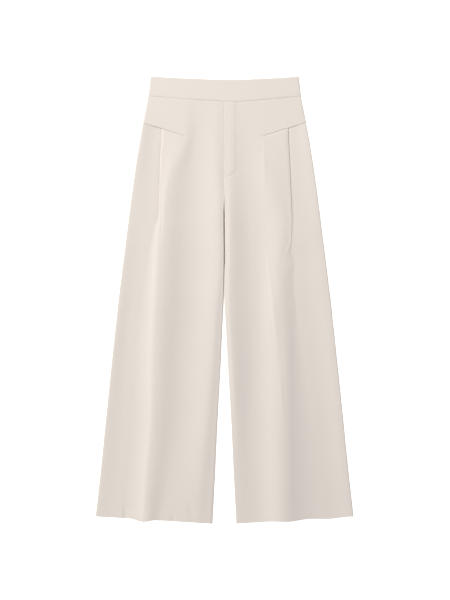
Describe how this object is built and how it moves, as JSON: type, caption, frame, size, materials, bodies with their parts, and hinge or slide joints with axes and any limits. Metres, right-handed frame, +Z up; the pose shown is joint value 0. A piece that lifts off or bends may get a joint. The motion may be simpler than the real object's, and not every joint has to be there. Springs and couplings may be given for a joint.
{
  "type": "palazzo pants",
  "caption": "Wide-leg high-waist trousers laid flat on their back, with a plain waistband, a fly, slanted front slashes and one open pleat a leg.",
  "frame": {"origin": "centre of the box around the part, on the surface that it lies on", "axes": "+Z up out of the surface, +Y towards the waist, +X towards the wearer's left leg"},
  "size_m": [0.5992, 1.04, 0.0085],
  "materials": {
    "cloth": "smooth matte crepe, cream",
    "waistband_cloth": "smooth matte crepe over a stiffening, cream",
    "fly_cloth": "smooth matte crepe, cream, edge stitched"
  },
  "bodies": {
    "root": {"front_right": "cloth", "front_left": "cloth", "back_right": "cloth", "back_left": "cloth", "waistband_front": "waistband_cloth", "waistband_back": "waistband_cloth", "fly": "fly_cloth"}
  },
  "joints": []
}
